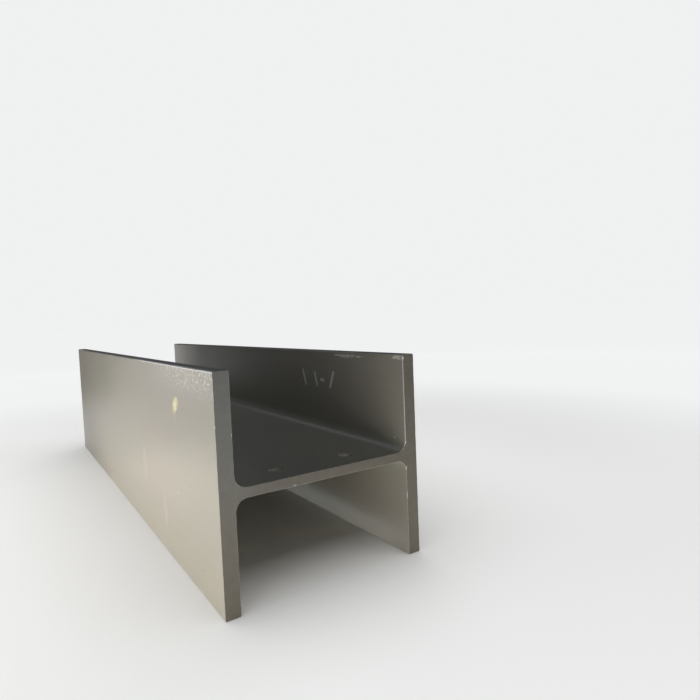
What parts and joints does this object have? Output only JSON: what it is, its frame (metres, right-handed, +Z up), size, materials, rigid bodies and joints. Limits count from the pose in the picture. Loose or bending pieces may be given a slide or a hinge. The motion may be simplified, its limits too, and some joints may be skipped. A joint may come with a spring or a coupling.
{
  "type": "steel h-beam",
  "caption": "Short length of rolled wide-flange steel H-beam in grey primer, lying with its web level, with a row of bolt holes through the web near one end.",
  "frame": {"origin": "on the floor, under the middle of the beam's length and of its section", "axes": "+X across the section from flange to flange, +Y along the beam away from the drilled end, +Z up from the floor through the level web"},
  "size_m": [0.414, 1.6, 0.405],
  "materials": {
    "grey_primer": "warm grey shop primer, satin, sprayed"
  },
  "bodies": {
    "root": {"h_beam": "grey_primer"}
  },
  "joints": []
}
